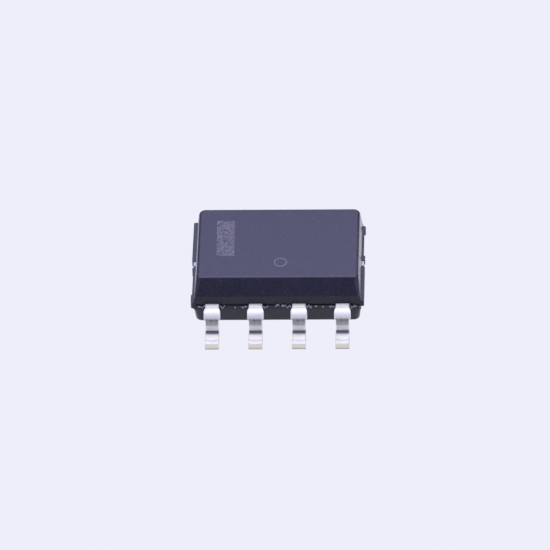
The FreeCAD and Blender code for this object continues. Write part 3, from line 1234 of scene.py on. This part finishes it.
@dataclass(frozen=True)
class Studio:
    """Pale floor that turns up all round, dim surroundings, and soft lamps above and behind."""

    floor_radius: float = 0.45
    rim_radius: float = 0.08
    rim_height: float = 0.12
    floor_tone: Colour = srgb(226, 226, 232)
    fibre: float = 6 * MM
    fibre_dim: float = 0.995
    surroundings: Colour = (0.02, 0.025, 0.14, 1.0)
    backdrop: Colour = srgb(238, 238, 250)
    segments: int = 96
    boxes: tuple[Softbox, ...] = (
        Softbox("overhead", 0.0, 88.0, 0.40, 0.45, 0.45, 1.34, (1.0, 0.99, 1.36)),
        Softbox("high back", 0.0, 60.0, 0.40, 0.45, 0.35, 2.14, (1.0, 1.0, 1.40)),
        Softbox("low back", 0.0, 35.0, 0.40, 0.60, 0.25, 0.28, (1.0, 1.05, 1.90)),
        Softbox("left", -90.0, 40.0, 0.40, 0.45, 0.35, 0.82, (1.0, 1.0, 1.40)),
        Softbox("right", 90.0, 40.0, 0.40, 0.45, 0.35, 1.02, (1.0, 0.99, 1.36)),
    )

    def build(self) -> None:
        """Make the floor, the surroundings and the lamps."""
        self.floor()
        self.world()
        for box in self.boxes:
            box.place()

    def floor(self) -> None:
        """Spin the floor and its turned-up rim."""
        mesh = bmesh.new()
        last = mesh.verts.new((0.0, 0.0, 0.0))
        turns, weld = 8, 1e-6
        points = [Vector((self.floor_radius, 0.0, 0.0))]
        for turn in range(1, turns + 1):
            angle = math.pi / 2 * turn / turns
            out = self.floor_radius + self.rim_radius * math.sin(angle)
            points.append(Vector((out, 0.0, self.rim_radius * (1 - math.cos(angle)))))
        points.append(points[-1] + UP * self.rim_height)
        for point in points:
            vertex = mesh.verts.new(point)
            mesh.edges.new((last, vertex))
            last = vertex
        outline = mesh.verts[:] + mesh.edges[:]
        bmesh.ops.spin(mesh, geom=outline, axis=UP, angle=2 * math.pi, steps=self.segments, use_merge=True)
        bmesh.ops.remove_doubles(mesh, verts=mesh.verts, dist=weld)
        bmesh.ops.recalc_face_normals(mesh, faces=mesh.faces)
        if next(iter(mesh.faces)).normal.z < 0:
            bmesh.ops.reverse_faces(mesh, faces=mesh.faces)
        data = as_mesh("floor", mesh)
        data.shade_smooth()
        data.materials.append(self.floor_material())
        linked("floor", data)

    def floor_material(self) -> bpy.types.Material:
        """A matt pale floor that is seen through from below.

        Returns:
            The material.
        """
        made = bpy.data.materials.new("pale floor")
        made.use_nodes = True
        graph = Graph(made.node_tree)
        inputs = {"Vector": graph.place(), "Scale": 1 / self.fibre}
        fibre = graph.add("ShaderNodeTexNoise", inputs).outputs["Fac"]
        dimmer = (*(part * self.fibre_dim for part in self.floor_tone[:3]), 1.0)
        paper = graph.add("ShaderNodeBsdfDiffuse", {"Color": graph.mix(fibre, self.floor_tone, dimmer)})
        below = graph.add("ShaderNodeNewGeometry").outputs["Backfacing"]
        clear = graph.add("ShaderNodeBsdfTransparent")
        both = graph.add("ShaderNodeMixShader", {0: below, 1: paper.outputs[0], 2: clear.outputs[0]})
        graph.add("ShaderNodeOutputMaterial", {"Surface": both.outputs[0]})
        return made

    def world(self) -> None:
        """Dim, slightly blue surroundings that are pale to the camera and from below."""
        world = bpy.data.worlds.new("surroundings")
        world.use_nodes = True
        graph = Graph(world.node_tree)
        seen = graph.add("ShaderNodeLightPath").outputs["Is Camera Ray"]
        away = graph.add("ShaderNodeTexCoord").outputs["Generated"]
        below = graph.math("LESS_THAN", graph.add("ShaderNodeSeparateXYZ", {0: away}).outputs["Z"], 0.0)
        colour = graph.mix(graph.math("MAXIMUM", seen, below), self.surroundings, self.backdrop)
        sky = graph.add("ShaderNodeBackground", {"Color": colour, "Strength": 1.0})
        graph.add("ShaderNodeOutputWorld", {"Surface": sky.outputs[0]})
        bpy.context.scene.world = world


@dataclass(frozen=True)
class PhotoCamera:
    """The camera, at the photograph's angle, roll, distance and framing."""

    azimuth: float = 2.292
    elevation: float = 36.747
    roll: float = -1.666
    distance: float = 242.4 * MM
    pixels_per_metre: float = 34.005 / MM
    frame: int = 550
    pivot: tuple[float, float, float] = (0.0, 0.0, 0.8 * MM)
    pivot_pixel: Point = (278.838, 265.653)
    sensor: float = 36.0
    clip: float = 50.0

    def build(self) -> None:
        """Make the camera and set it as the scene's."""
        data = bpy.data.cameras.new("camera")
        data.sensor_width = self.sensor
        data.lens = self.pixels_per_metre * self.distance / self.frame * self.sensor
        data.clip_start, data.clip_end = self.distance / self.clip, self.distance * self.clip
        data.shift_x = (self.frame / 2 - self.pivot_pixel[0]) / self.frame
        data.shift_y = (self.pivot_pixel[1] - self.frame / 2) / self.frame
        camera = linked("camera", data)
        back, right = towards(180 - self.azimuth, self.elevation), towards(90 - self.azimuth, 0.0)
        upright = Matrix((right, back.cross(right), back)).transposed().to_4x4()
        place = Matrix.Translation(Vector(self.pivot) + back * self.distance)
        camera.matrix_world = place @ upright @ Matrix.Rotation(math.radians(self.roll), 4, "Z")
        bpy.context.scene.camera = camera


def dress_solids(frame: dict) -> None:
    """Give the solids that stay their finishes.
    """
    finishes: dict[str, Finish] = {
        "mold_body": MOULD,
        "die_pad": COPPER,
        "die_attach": EPOXY,
        "silicon_die": SILICON,
        "bond_wire": GOLD,
    }
    for name, node in sorted(frame["nodes"].items()):
        for start, finish in finishes.items():
            if name.startswith(start):
                node.data.materials.clear()
                node.data.materials.append(finish.material())
                log.info("%s: finish %s", name, finish.name)


def main() -> None:
    """Build the camera, the studio and the chip."""
    logging.basicConfig(level=logging.INFO, format="%(name)s %(message)s")
    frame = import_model()
    bpy.context.scene.view_settings.view_transform = "Standard"
    PhotoCamera().build()
    Studio().build()
    dress_solids(frame)
    GullWingLeads().build(frame)
    ResinFlash().build()
    LaserMarks().build()


if __name__ == "__main__":
    main()
